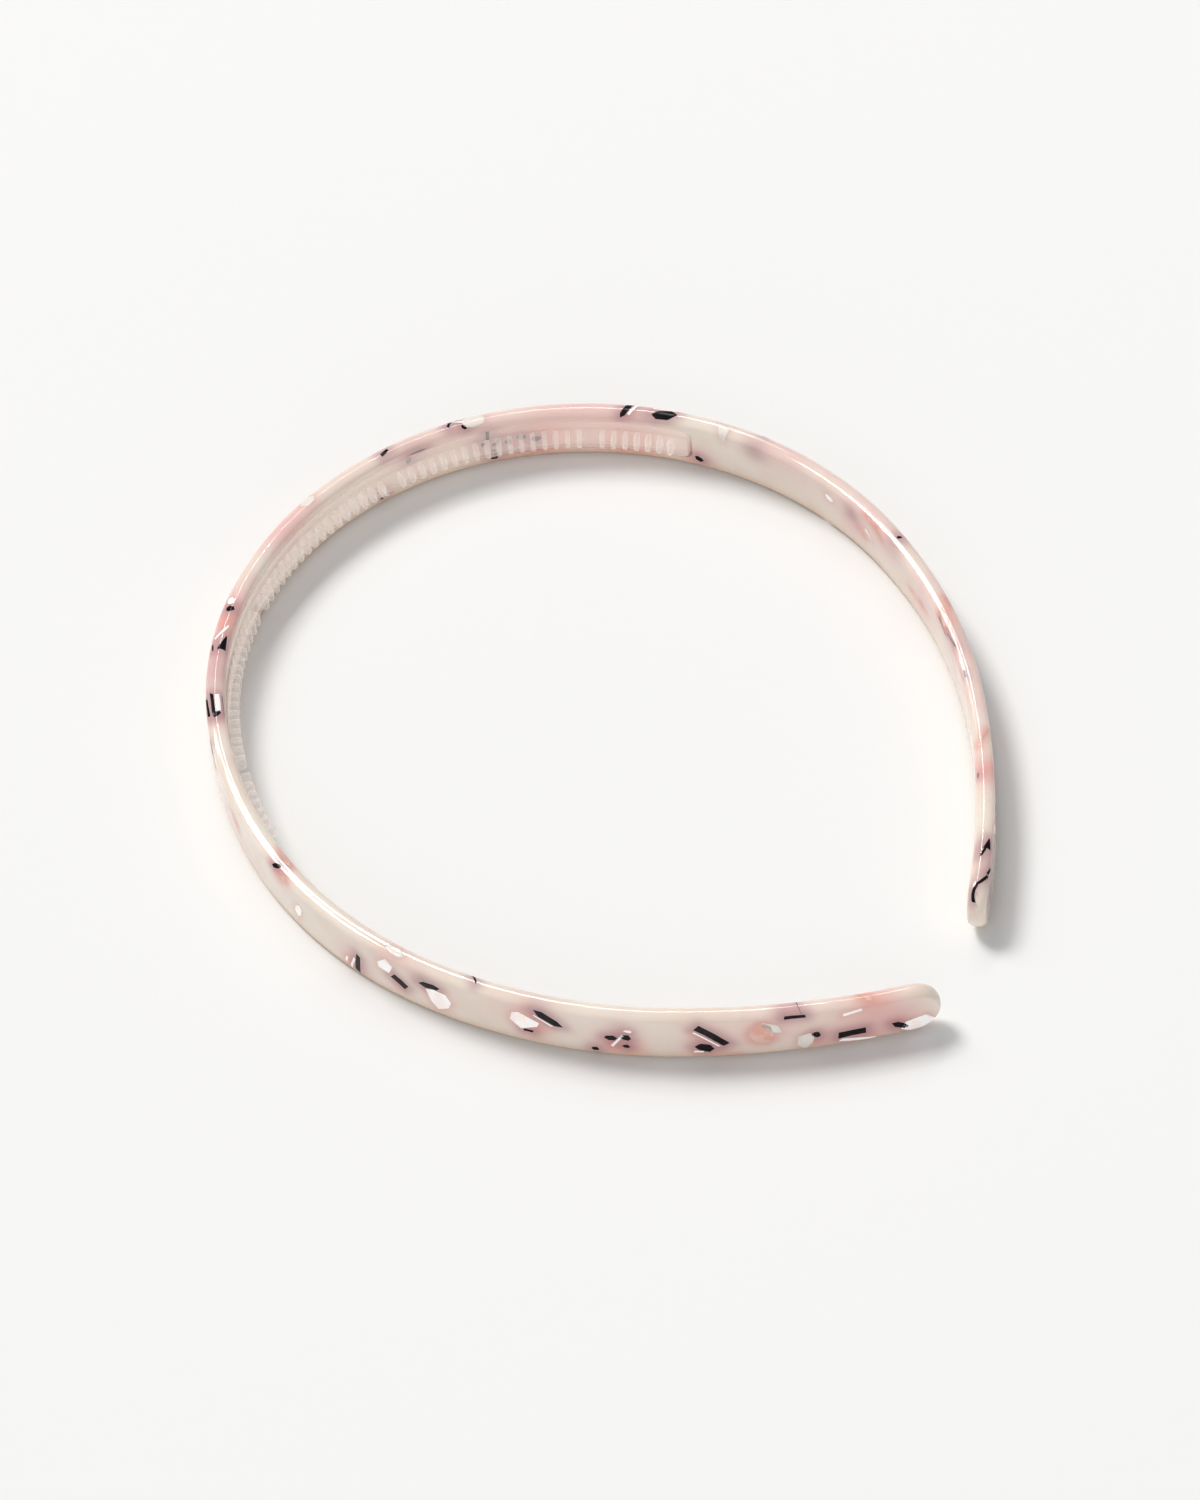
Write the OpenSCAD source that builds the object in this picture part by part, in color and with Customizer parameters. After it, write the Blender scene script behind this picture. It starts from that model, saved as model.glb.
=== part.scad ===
// Toothed headband: a heat-formed acetate hoop with a clear moulded comb
// strip bonded into a milled channel on its inner face.
// Units are millimetres. The hoop lies on its long edge, so the width of the
// band is vertical. The crown is towards +Y and the two tips are towards -Y.

/* [Band] */
// Width of the band over the crown and the sides
band_w = 10; // [8:0.5:16]
// Thickness of the acetate sheet
band_t = 3.1; // [2.5:0.1:5]
// Radius of the tumbled long edges
edge_r = 0.85; // [0.4:0.05:1.1]
// Width of an arm where its rounded tip starts
tip_w = 9.1; // [7:0.1:9.9]

/* [Forming] */
// Length along the band from the middle of the crown to either tip
half_length = 191.5; // [155:0.5:240]
// Radius of the crown bend, to the middle of the sheet
crown_r = 55.5; // [46:0.5:75]
// Length of the crown bend on each side of its middle
crown_reach = 44.5; // [36:0.5:60]
// Radius of the right side bend
right_side_r = 62; // [50:0.5:85]
// Radius of the left side bend, which springs open a little further
left_side_r = 69.5; // [50:0.5:85]
// Length of each side bend
side_reach = 65.5; // [52:0.5:80]
// Radius of each shoulder, where a side eases into its arm
shoulder_r = 85; // [68:1:110]
// Length of each shoulder
shoulder_reach = 39; // [31:0.5:47]
// Radius of the arms, which close in gently towards the tips
arm_r = 132; // [106:1:180]

/* [Comb strip] */
// Height of the base of the strip
base_h = 6.2; // [5:0.1:6.4]
// Thickness of the base, which lies flush with the inner face of the band
base_t = 1; // [0.8:0.05:1.4]
// Height of the raised rib that carries the teeth
rib_h = 3.6; // [3.2:0.1:4.6]
// How far the rib stands out of the base
rib_t = 0.4; // [0.2:0.05:0.8]
// Radius of the moulded edges of the base and the rib
moulded_r = 0.15; // [0.1:0.05:0.25]
// Distance from the last tooth to the end of the strip
end_margin = 2.8; // [2:0.1:6]
// Corner radius of the ends of the strip
strip_corner_r = 1.2; // [0.4:0.1:2]

/* [Channel] */
// Bond gap between the base and the floor and long walls of the channel
bond_gap = 0.15; // [0.05:0.05:0.3]
// Gap left at each end of the strip
end_gap = 0.7; // [0.2:0.1:2]
// Corner radius that the milling cutter leaves
channel_corner_r = 1.6; // [0.6:0.1:2.2]

/* [Teeth] */
// Distance from tooth to tooth
tooth_pitch = 1.98; // [1.6:0.02:2.4]
// Thickness of a tooth along the band
tooth_t = 0.8; // [0.5:0.05:1.2]
// Height of a tooth across the band
tooth_h = 3; // [2:0.1:3.1]
// How far a tooth stands out of the rib
tooth_reach = 1.6; // [1:0.1:2.5]
// Radius of the free corners of a tooth
tooth_corner_r = 0.6; // [0.2:0.05:0.9]

/* [Hidden] */
$fn = 48;
// Steps in a full turn of a bend
BEND_FN = 240;

// Teeth in each group of the strip, and the places left empty between groups
TOOTH_GROUPS = [7, 17, 17, 17, 7];
EMPTY_PLACES = 1;
// Share of the base's thickness that a tooth and the rib are sunk into it
TOOTH_ROOT = 0.8;
RIB_ROOT = 0.5;

// Where two bends meet, the outer one starts this far inside the inner one,
// and each of its faces lies this far under it, so that they join cleanly
lap = 0.1;
seam = 0.01;
// The flat, rounded tip lies a little deeper inside the curved arm
tip_seam = 0.035;
// How far a cutter runs past the face that it cuts
overcut = 1;
// How far the arc of a rounded corner overshoots the walls that it joins
grazing = 0.04;

tip_r = tip_w / 2 - tip_seam;

// A side of the hoop is a chain of bends from the crown outwards, each given
// as [radius, length]
function side_bends(side_r) = [
    [crown_r, crown_reach],
    [side_r, side_reach],
    [shoulder_r, shoulder_reach],
    [arm_r, half_length - crown_reach - side_reach - shoulder_reach - tip_r]
];
right_bends = side_bends(right_side_r);
left_bends = side_bends(left_side_r);

function degrees_of(length, r) = length / r * 180 / PI;
function turn(bend) = degrees_of(bend[1], bend[0]);

// A state is [x, y, heading]: heading 0 runs along +X and turns towards -Y
function after_bend(s, r, a) = [
    s[0] + r * (sin(s[2] + a) - sin(s[2])),
    s[1] + r * (cos(s[2] + a) - cos(s[2])),
    s[2] + a
];
function state_at(bends, i) =
    i == 0 ? [0, 0, 0] : after_bend(state_at(bends, i - 1), bends[i - 1][0], turn(bends[i - 1]));

// State at a length along a side, measured from the crown
function state_along(bends, length, i = 0) =
    length > bends[i][1] && i < len(bends) - 1
    ? state_along(bends, length - bends[i][1], i + 1)
    : after_bend(state_at(bends, i), bends[i][0], degrees_of(length, bends[i][0]));

// State where a side runs straight back, which is where the hoop is widest
function widest(bends, i = 0) =
    state_at(bends, i + 1)[2] < 90 && i < len(bends) - 1
    ? widest(bends, i + 1)
    : after_bend(state_at(bends, i), bends[i][0], 90 - state_at(bends, i)[2]);

// Lowest y that the rounded tip of a side reaches
function tip_y(bends) =
    let (s = state_at(bends, 4))
    s[1] - (tip_r - edge_r) * abs(sin(s[2])) - (band_t / 2 - tip_seam - edge_r) * abs(cos(s[2])) - edge_r;

// The origin is under the middle of the hoop's outline
centre = [
    (widest(right_bends)[0] - widest(left_bends)[0]) / 2,
    (band_t / 2 + min(tip_y(right_bends), tip_y(left_bends))) / 2,
    -band_w / 2
];

// Places along the strip taken by the first n groups and the gaps after them
function places(n) = n == 0 ? 0 : places(n - 1) + TOOTH_GROUPS[n - 1] + EMPTY_PLACES;
last_place = places(len(TOOTH_GROUPS)) - EMPTY_PLACES - 1;
tooth_spots = [
    for (g = [0 : len(TOOTH_GROUPS) - 1], k = [0 : TOOTH_GROUPS[g] - 1])
        (places(g) + k - last_place / 2) * tooth_pitch
];

strip_half = last_place / 2 * tooth_pitch + end_margin;
channel_half = strip_half + end_gap;
channel_h = base_h + 2 * bond_gap;
channel_depth = base_t + bond_gap;

// Sections are drawn with x measured outwards from the middle of the sheet

module rounded_rect(x0, x1, h, r) {
    for (x = [x0 + r, x1 - r], y = [r - h / 2, h / 2 - r])
        translate([x, y]) circle(r);
    translate([x0, r - h / 2]) square([x1 - x0, h - 2 * r]);
    translate([x0 + r, -h / 2]) square([x1 - x0 - 2 * r, h]);
}

module bar_section(w, inset = 0) {
    rounded_rect(inset - band_t / 2, band_t / 2 - inset, w - 2 * inset, edge_r);
}

module channel_section(inset = 0) {
    translate([-band_t / 2 - overcut, inset - channel_h / 2])
        square([overcut + channel_depth - inset, channel_h - 2 * inset]);
}

module strip_section(inset = 0) {
    face = -band_t / 2;
    rounded_rect(face + inset, face + base_t - inset, base_h - 2 * inset, moulded_r);
    rounded_rect(face - rib_t + inset, face + base_t * RIB_ROOT, rib_h - 2 * inset, moulded_r);
}

// Moves children to a state, facing along its heading
module at_state(s) {
    translate([s[0], s[1], 0]) rotate([0, 0, -s[2]]) children();
}

// Bends a section from one angle to another about the centre of the bend
module bend(r, from, to) {
    translate([0, -r, 0])
        rotate([0, 0, 90 - to])
            rotate_extrude(angle = to - from, $fn = BEND_FN)
                translate([r, 0]) children();
}

// Bends a section along bend number i of a side, as far as the given length
module outer_bend(bends, i, length) {
    at_state(state_at(bends, i))
        bend(bends[i][0], -degrees_of(lap, bends[i][0]), degrees_of(length, bends[i][0]))
            children();
}

// Bends a section over the crown and, if it is longer than that, down both
// sides. The first child is the section, the second the same one set in a seam.
// The crown's piece runs on past its own bend by the given length.
module over_crown(half, run_on = 0) {
    crown_turn = degrees_of(half > crown_reach ? crown_reach + run_on : half, crown_r);
    bend(crown_r, -crown_turn, crown_turn) children(0);
    if (half > crown_reach) {
        outer_bend(right_bends, 1, half - crown_reach) children(1);
        mirror([1, 0, 0]) outer_bend(left_bends, 1, half - crown_reach) children(1);
    }
}

// Upper half of an arm. Its bend leans down about the line from its centre to
// its start, so the arm narrows evenly towards the tip.
module half_arm(bends) {
    lean = asin((band_w - tip_w) / 2 / (arm_r * sin(turn(bends[3]))));
    intersection() {
        rotate([0, lean, 0])
            bend(arm_r, -degrees_of(lap, arm_r), turn(bends[3]))
                bar_section(band_w, 3 * seam);
        translate([-lap - overcut, -2 * arm_r, 0]) cube([2 * arm_r, 3 * arm_r, band_w]);
    }
}

// Rounded end of an arm: half a flat disc whose rim is rounded like the edges
module tip() {
    rotate([90, 0, 0])
        intersection() {
            rotate_extrude()
                rotate([0, 0, 90])
                    intersection() {
                        bar_section(2 * tip_r, tip_seam);
                        translate([-band_t, -2 * tip_r]) square([2 * band_t, 2 * tip_r]);
                    }
            translate([-lap, -tip_w, -band_t]) cube([2 * tip_w, 2 * tip_w, 2 * band_t]);
        }
}

// Shoulder, tapered arm and tip of one side
module arm(bends) {
    outer_bend(bends, 2, shoulder_reach) bar_section(band_w, 2 * seam);
    at_state(state_at(bends, 3)) {
        half_arm(bends);
        mirror([0, 0, 1]) half_arm(bends);
    }
    at_state(state_at(bends, 4)) tip();
}

// Cuts one corner of a rounded end: the end is at x = 0 and runs back from it.
// The arc crosses the two walls at a slight angle instead of grazing them.
module corner_cutter(h, r) {
    inset = r - grazing;
    rotate([90, 0, 0])
        linear_extrude(4 * band_t, center = true)
            difference() {
                translate([-inset, h / 2 - inset]) square([r + overcut, r + overcut]);
                translate([-inset, h / 2 - inset]) circle(r);
            }
}

// Rounds both ends of what lies along the crown, out to the given length
module round_ends(half, h, r) {
    difference() {
        children();
        for (z = [0, 1]) {
            at_state(state_along(right_bends, half)) mirror([0, 0, z]) corner_cutter(h, r);
            mirror([1, 0, 0])
                at_state(state_along(left_bends, half)) mirror([0, 0, z]) corner_cutter(h, r);
        }
    }
}

module channel() {
    round_ends(channel_half, channel_h, channel_corner_r)
        over_crown(channel_half, lap) {
            channel_section();
            channel_section(seam);
        }
}

module tooth() {
    face = -band_t / 2;
    rotate([90, 0, 90])
        linear_extrude(tooth_t, center = true)
            rounded_rect(face - rib_t - tooth_reach, face + base_t * TOOTH_ROOT, tooth_h, tooth_corner_r);
}

module at_spot(spot) {
    if (spot >= 0) at_state(state_along(right_bends, spot)) children();
    else mirror([1, 0, 0]) at_state(state_along(left_bends, -spot)) children();
}

module band() {
    color("antiquewhite")
        translate(-centre)
            difference() {
                union() {
                    over_crown(crown_reach + side_reach) {
                        bar_section(band_w);
                        bar_section(band_w, seam);
                    }
                    arm(right_bends);
                    mirror([1, 0, 0]) arm(left_bends);
                }
                channel();
            }
}

module comb_strip() {
    color("lavenderblush")
        translate(-centre) {
            round_ends(strip_half, base_h, strip_corner_r)
                over_crown(strip_half) {
                    strip_section();
                    strip_section(seam);
                }
            for (spot = tooth_spots) at_spot(spot) tooth();
        }
}

band();
comb_strip();
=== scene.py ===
# %% [markdown]
# # A mosaic acetate headband
# The real object is a flat bar of pressed acetate, cut from a sheet, tumbled until its edges
# are round, and bent over a hot former. A clear comb strip sits in a channel on its inner face.
# The hoop lies on its long edge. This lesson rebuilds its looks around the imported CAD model,
# which gives the true sizes and places. Everything below is in the same frame as that model.

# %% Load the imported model
import math
import random

import bmesh
import bpy
import numpy as np
from mathutils import Matrix, Vector


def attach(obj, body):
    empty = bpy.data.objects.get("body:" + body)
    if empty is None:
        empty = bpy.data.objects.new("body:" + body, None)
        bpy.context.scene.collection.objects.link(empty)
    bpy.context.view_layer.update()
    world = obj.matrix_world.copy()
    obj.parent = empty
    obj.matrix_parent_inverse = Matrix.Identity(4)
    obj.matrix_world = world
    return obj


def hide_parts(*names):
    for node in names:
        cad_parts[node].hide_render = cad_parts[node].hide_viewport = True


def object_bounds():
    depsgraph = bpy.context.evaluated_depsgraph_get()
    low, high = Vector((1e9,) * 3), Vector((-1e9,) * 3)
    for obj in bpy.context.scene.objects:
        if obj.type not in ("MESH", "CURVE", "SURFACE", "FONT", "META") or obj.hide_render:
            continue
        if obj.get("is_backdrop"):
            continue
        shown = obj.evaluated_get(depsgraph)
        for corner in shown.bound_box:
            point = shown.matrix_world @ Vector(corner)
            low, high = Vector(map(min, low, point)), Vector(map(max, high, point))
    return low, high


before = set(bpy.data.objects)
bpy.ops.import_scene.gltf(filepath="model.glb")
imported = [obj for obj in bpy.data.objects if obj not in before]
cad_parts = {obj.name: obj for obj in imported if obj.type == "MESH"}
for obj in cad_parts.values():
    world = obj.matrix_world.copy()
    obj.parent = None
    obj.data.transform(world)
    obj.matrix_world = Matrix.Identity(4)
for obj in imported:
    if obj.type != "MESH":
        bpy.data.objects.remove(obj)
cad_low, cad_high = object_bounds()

MM = 0.001
print("CAD nodes:", sorted(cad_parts))

# %% [markdown]
# ## The line of the hoop
# A maker bends the bar on a former made of simple arcs: a tight one over the crown, an easier one
# down each side, a flatter shoulder, and a wide one that closes the arms in towards the head. A
# Bezier curve could follow this line, but its thickness would not be exact, so the arcs are
# written out as they are in the CAD model. Lengths along the hoop start at the middle of the
# crown, and the left side is negative.

# %% Sizes of the hoop, in millimetres
BAND_W = 10.0
BAND_T = 3.1
HALF_LENGTH = 191.5
TIP_R = 4.515
CROWN_R, CROWN_REACH = 55.5, 44.5
SIDE_R = {1: 62.0, -1: 69.5}
SIDE_REACH = 65.5
SHOULDER_R, SHOULDER_REACH = 85.0, 39.0
ARM_R = 132.0
ARM_END = HALF_LENGTH - TIP_R
ARM_START = CROWN_REACH + SIDE_REACH + SHOULDER_REACH
ARM_TURN = (ARM_END - ARM_START) / ARM_R


def along(s):
    """Place and heading at s mm along the hoop, as if s were on the right."""
    left = abs(s)
    x = y = heading = 0.0
    bends = [(CROWN_R, CROWN_REACH), (SIDE_R[1 if s >= 0 else -1], SIDE_REACH)]
    bends += [(SHOULDER_R, SHOULDER_REACH), (ARM_R, ARM_END - ARM_START)]
    for radius, length in bends:
        step = min(left, length)
        turn = step / radius
        x += radius * (math.sin(heading + turn) - math.sin(heading))
        y += radius * (math.cos(heading + turn) - math.cos(heading))
        heading += turn
        left -= step
    return x, y, heading


for s in (0, 100, ARM_END):
    turned = math.degrees(along(s)[2])
    print("at", round(s, 1), "mm the hoop has turned", round(turned, 1), "degrees")

# %% [markdown]
# ## The skin of the bar
# Tumbling leaves a soft crown on each rim rather than a true radius, so a highlight runs along it
# as one thin line. The section below is flat on both faces with half an ellipse on each rim. One
# function gives any point of the skin from two numbers: s, the length along the hoop, and p, the
# distance round the section from the middle of the top rim, positive on the outer side. The band
# and every chip in it use that function, so that they always fit each other.

# %% The section, and what changes along the hoop
SKIN = 0.04
RIM_DROP = 0.9
RIM = 2.0
CHANNEL_HALF = 70.82
CHANNEL_H = 6.5
CHANNEL_DEPTH = 1.15
CHANNEL_CORNER = 1.6


def half_width(s):
    """Half the width of the bar, which narrows along the arms."""
    turn = min(max(abs(s) - ARM_START, 0.0) / ARM_R, ARM_TURN)
    return BAND_W / 2 - (BAND_W / 2 - TIP_R) * math.sin(turn) / math.sin(ARM_TURN)


def channel_half_height(s):
    """Half the height of the milled channel at s; its ends are rounded by the cutter."""
    past = abs(s) - (CHANNEL_HALF - CHANNEL_CORNER)
    if past <= 0:
        return CHANNEL_H / 2
    dip = math.sqrt(max(CHANNEL_CORNER**2 - min(past, CHANNEL_CORNER) ** 2, 0.0))
    return CHANNEL_H / 2 - CHANNEL_CORNER + dip


for s in (0, CHANNEL_HALF - CHANNEL_CORNER / 2, HALF_LENGTH):
    print("at", round(s, 1), "mm the bar is", round(2 * half_width(s), 2), "mm wide")


# %% A point on the skin
def tip_section(past, up, face_end, half_t, lift):
    """How far out, forward and up a point of the rounded tip lies."""
    reach = math.hypot(past, up)
    angle = min(max(reach - face_end, 0.0) / RIM, 1.0) * math.pi / 2
    rho = min(reach, face_end) + RIM_DROP * math.sin(angle)
    out_share, edge_share = math.cos(angle) / half_t, math.sin(angle) / RIM_DROP
    size = math.hypot(out_share, edge_share)
    rho += lift * edge_share / size
    return half_t * math.cos(angle) + lift * out_share / size, rho * (past / reach), rho * (up / reach)


def rim_section(beyond, face_end, half_t, lift):
    """How far out and up a point of the soft rim lies, beyond the end of the flat face."""
    angle = (RIM - beyond) / RIM * math.pi / 2
    out_share, up_share = math.sin(angle) / half_t, math.cos(angle) / RIM_DROP
    size = math.hypot(out_share, up_share)
    out = half_t * math.sin(angle) + lift * out_share / size
    return out, face_end + RIM_DROP * math.cos(angle) + lift * up_share / size


def on_skin(s, p, lift=0.0, sunk=None):
    """The point at s and p, lifted off the skin, in path coordinates and millimetres."""
    x, y, heading = along(s)
    past = max(abs(s) - ARM_END, 0.0)
    half_t = BAND_T / 2 - SKIN
    face_end = half_width(s) - SKIN - RIM_DROP
    up = face_end + RIM - abs(p)
    forward = 0.0
    if past > 0:
        out, forward, z = tip_section(past, up, face_end, half_t, lift)
    elif abs(up) > face_end:
        out, z = rim_section(abs(up) - face_end, face_end, half_t, lift)
        z = math.copysign(z, up)
    else:
        out, z = half_t + lift, up
        if sunk is None:
            sunk = abs(s) < CHANNEL_HALF and abs(up) < channel_half_height(s)
        if p < 0 and sunk:
            out -= CHANNEL_DEPTH - SKIN
    if p < 0:
        out = -out
    side = 1 if s >= 0 else -1
    px = x + math.sin(heading) * out + math.cos(heading) * forward
    py = y + math.cos(heading) * out - math.sin(heading) * forward
    return side * px, py, z


MIDDLE_OF_FACE = 6.1
OUTLINE_GAP = 0.5
outline = []
for s in np.arange(-HALF_LENGTH, HALF_LENGTH, OUTLINE_GAP):
    outline += [on_skin(s, p) for p in (-RIM, RIM, MIDDLE_OF_FACE, -MIDDLE_OF_FACE)]
outline_middle = (np.min(outline, axis=0) + np.max(outline, axis=0)) / 2 * MM
cad_middle = (cad_low + cad_high) / 2
SHIFT = Vector((cad_middle.x - outline_middle[0], cad_middle.y - outline_middle[1], cad_middle.z))


def place(point):
    """A point in path coordinates, moved into the shared frame in metres."""
    return Vector(point) * MM + SHIFT


print("hoop centre moved by", [round(v / MM, 2) for v in SHIFT], "mm")

# %% [markdown]
# ## The band as a mesh
# The bar could be a curve with a bevel section, but a curve cannot carry the milled channel or the
# rounded tips. Instead, rings of points are laid along the hoop and joined by quads. At each end of
# the channel two rings share one place, which makes its end wall. A tip is the upper half of the
# last ring swung round to the lower half.

# %% Rings along the hoop
RIM_STEPS = 7
FACE_STEPS = 20
FLOOR_STEPS = 16
CORNER_STEPS = 8
RING_GAP = 0.45


def ring_points(s, in_channel):
    """(p, sunk) for each point round the section, from the top rim over the outer face and back."""
    face = 2 * (half_width(s) - SKIN - RIM_DROP)
    rim = [RIM * k / RIM_STEPS for k in range(RIM_STEPS)]
    outer_face = [RIM + face * k / FACE_STEPS for k in range(FACE_STEPS)]
    low_rim = [2 * RIM + face - p for p in reversed(rim)]
    outer = rim + outer_face + [RIM + face] + low_rim
    wall = min(channel_half_height(s), face / 2)
    upper = [RIM, RIM + (face / 2 - wall) / 2]
    floor = [RIM + face / 2 - wall + 2 * wall * k / FLOOR_STEPS for k in range(FLOOR_STEPS + 1)]
    lower = [2 * RIM + face - p for p in reversed(upper)]
    inner = [(p, False) for p in rim[1:] + upper + floor[:1]]
    inner += [(p, in_channel) for p in floor]
    inner += [(p, False) for p in floor[-1:] + lower + low_rim[:-1]]
    return [(p, False) for p in outer] + [(-p, sunk) for p, sunk in reversed(inner)]


def hoop_spots():
    """Each ring as (s, whether the channel runs through it)."""
    turns = [math.pi / 2 * k / CORNER_STEPS for k in range(CORNER_STEPS + 1)]
    fine = [CHANNEL_HALF - CHANNEL_CORNER * (1 - math.cos(turn)) for turn in turns]
    steps = int(ARM_END / RING_GAP)
    plain = [ARM_END * k / steps for k in range(steps + 1)]
    spots = [(s, s < CHANNEL_HALF) for s in plain if abs(s - CHANNEL_HALF) > RING_GAP]
    spots += [(s, True) for s in fine] + [(CHANNEL_HALF, False)]
    spots.sort(key=lambda spot: (spot[0], not spot[1]))
    left = [(-s, sunk) for s, sunk in reversed(spots) if s > 0]
    return left + spots


spots = hoop_spots()
rings = [[(s, p, sunk) for p, sunk in ring_points(s, sunk_here)] for s, sunk_here in spots]
print(len(rings), "rings of", len(rings[0]), "points")

# %% The band mesh
TIP_STEPS = 24
WELD_GAP = 0.004
SHORTEST_EDGE = 0.001


def new_piece(name, bm, sharp=None):
    """Makes an object of a bmesh, shaded smooth up to a sharp angle in degrees."""
    mesh = bpy.data.meshes.new(name)
    bm.to_mesh(mesh)
    bm.free()
    if sharp:
        mesh.shade_smooth()
        mesh.set_sharp_from_angle(angle=math.radians(sharp))
    piece = bpy.data.objects.new(name, mesh)
    bpy.context.scene.collection.objects.link(piece)
    return piece


def tip_fans(side):
    """Columns of points that swing the upper half of the last ring round to the lower half."""
    top = half_width(ARM_END) - SKIN
    reach = top - RIM_DROP + RIM
    steps = [reach - RIM * k / RIM_STEPS for k in range(RIM_STEPS)]
    steps += [(top - RIM_DROP) * (1 - k / (FACE_STEPS / 2)) for k in range(FACE_STEPS // 2 + 1)]
    columns = []
    for k in range(TIP_STEPS + 1):
        angle = math.pi / 2 - math.pi * k / TIP_STEPS
        column = []
        for sign in (1, -1):
            for rho in steps if sign > 0 else reversed(steps):
                s = side * (ARM_END + max(rho * math.cos(angle), 0.0))
                column.append((s, sign * (reach - rho * math.sin(angle)), False))
        half = len(steps)
        columns.append(column[half:] + column[:half])
    return columns


band_bm = bmesh.new()
spot_layer = band_bm.verts.layers.float_vector.new("spot")


def add_grid(grid, closed):
    """Joins columns of skin points with quads."""
    made = []
    for column in grid:
        row = []
        for s, p, sunk in column:
            vertex = band_bm.verts.new(place(on_skin(s, p, sunk=sunk)))
            vertex[spot_layer] = (s, p, float(sunk))
            row.append(vertex)
        made.append(row)
    last = len(made[0]) if closed else len(made[0]) - 1
    for a, b in zip(made, made[1:]):
        for k in range(last):
            n = (k + 1) % len(a)
            band_bm.faces.new((a[k], a[n], b[n], b[k]))


add_grid(rings, True)
for side in (1, -1):
    add_grid(tip_fans(side), False)
bmesh.ops.remove_doubles(band_bm, verts=band_bm.verts, dist=WELD_GAP * MM)
bmesh.ops.dissolve_degenerate(band_bm, edges=band_bm.edges, dist=SHORTEST_EDGE * MM)
bmesh.ops.recalc_face_normals(band_bm, faces=band_bm.faces)
open_edges = sum(1 for edge in band_bm.edges if not edge.is_manifold)
mosaic_band = new_piece("mosaic_band", band_bm, sharp=40)
band_mesh = mosaic_band.data
print("band mesh:", len(band_mesh.vertices), "points,", open_edges, "open edges")

# %% [markdown]
# ## The chips
# The sheet is pressed from pieces of black, white, coral and clear acetate laid in an ivory paste,
# then sawn and polished, so each chip ends flush with the skin. A texture could fake them, but real
# pieces keep crisp edges in every view. Each chip is a thin closed solid laid on the skin function:
# its rim dips under the surface, its middle stands a hair proud so that it hides the paste, and its
# body goes nearly half a millimetre in.

# %% Cut shapes and one chip
CUTS = {
    "sliver": [(-0.5, -0.1), (-0.3, 0.4), (0.25, 0.5), (0.5, 0.0), (0.2, -0.5), (-0.25, -0.45)],
    "bar": [(-0.5, -0.4), (-0.47, 0.5), (0.1, 0.42), (0.5, 0.5), (0.47, -0.45), (0.0, -0.5)],
    "wedge": [(-0.5, -0.5), (-0.38, 0.1), (-0.5, 0.5), (0.5, 0.08), (0.45, -0.1)],
    "flake": [(-0.5, 0.1), (-0.28, 0.5), (0.2, 0.42), (0.5, 0.02), (0.3, -0.42), (-0.2, -0.5)],
    "house": [(0.5, 0.0), (-0.05, -0.5), (-0.5, -0.1), (-0.15, 0.5), (0.5, 0.35)],
    "shield": [
        (0.5, -0.35), (0.15, -0.5), (-0.25, -0.4), (-0.45, -0.05), (-0.35, 0.3), (0.0, 0.5), (0.3, 0.15),
    ],
    "barb": [(0.4, -0.45), (0.2, -0.5), (-0.5, 0.0), (-0.43, 0.17), (0.1, 0.5), (0.5, 0.05)],
    "disc": [(0.5 * math.cos(a), 0.5 * math.sin(a)) for a in np.linspace(0, 2 * math.pi, 11)[:-1]],
}
CHIP_DEPTH = 0.45
CHIP_LIFT = 0.024
CHIP_RIM_DIP = 0.03
CHIP_RINGS = (1.0, 0.93, 0.75, 0.5, 0.25)
BURIED_SHARE = 0.96
OUTLINE_STEP = 0.22
NUDGE_LONG, NUDGE_WIDE = 0.05, 0.07
shake = random.Random(11)


def chip_outline(cut, s, p, long, wide, turn):
    """Points round a chip on the skin, with its corners nudged so that no two chips are alike."""
    c, d = math.cos(math.radians(turn)), math.sin(math.radians(turn))
    corners = []
    for a, b in CUTS[cut]:
        a = (a + shake.uniform(-NUDGE_LONG, NUDGE_LONG)) * long
        b = (b + shake.uniform(-NUDGE_WIDE, NUDGE_WIDE)) * wide
        corners.append((s + a * c - b * d, p + a * d + b * c))
    points = []
    for k, here in enumerate(corners):
        there = corners[(k + 1) % len(corners)]
        span = math.dist(here, there)
        parts = max(1, math.ceil(span / OUTLINE_STEP))
        for j in range(parts):
            t = j / parts
            points.append((here[0] + (there[0] - here[0]) * t, here[1] + (there[1] - here[1]) * t))
    return points


def add_chip(bm, points):
    """One closed chip on the skin, from its outline."""
    middle = np.mean(points, axis=0)
    levels = [(BURIED_SHARE, -CHIP_DEPTH), (CHIP_RINGS[0], -CHIP_RIM_DIP)]
    levels += [(share, CHIP_LIFT) for share in CHIP_RINGS[1:]]
    layers = []
    for share, lift in levels:
        ring = [middle + (np.array(q) - middle) * share for q in points]
        layers.append([bm.verts.new(place(on_skin(q[0], q[1], lift))) for q in ring])
    n = len(points)
    for a, b in zip(layers, layers[1:]):
        for k in range(n):
            bm.faces.new((a[k], a[(k + 1) % n], b[(k + 1) % n], b[k]))
    for ring, lift in ((layers[0], -CHIP_DEPTH), (layers[-1], CHIP_LIFT)):
        hub = bm.verts.new(place(on_skin(middle[0], middle[1], lift)))
        for k in range(n):
            bm.faces.new((hub, ring[k], ring[(k + 1) % n]))


print("cuts:", {name: len(corners) for name, corners in CUTS.items()})

# %% [markdown]
# ## Where the chips lie
# Each line gives a cut, its place s and p, its length and width in millimetres, and its turn in
# degrees from the line of the hoop. They lie in loose clusters, dense towards the left arm and
# sparse on the right, as in a sheet cut across a few poured streaks. The faces that stay empty
# are filled by a seeded draw afterwards, so the band looks finished from every side.

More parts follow.
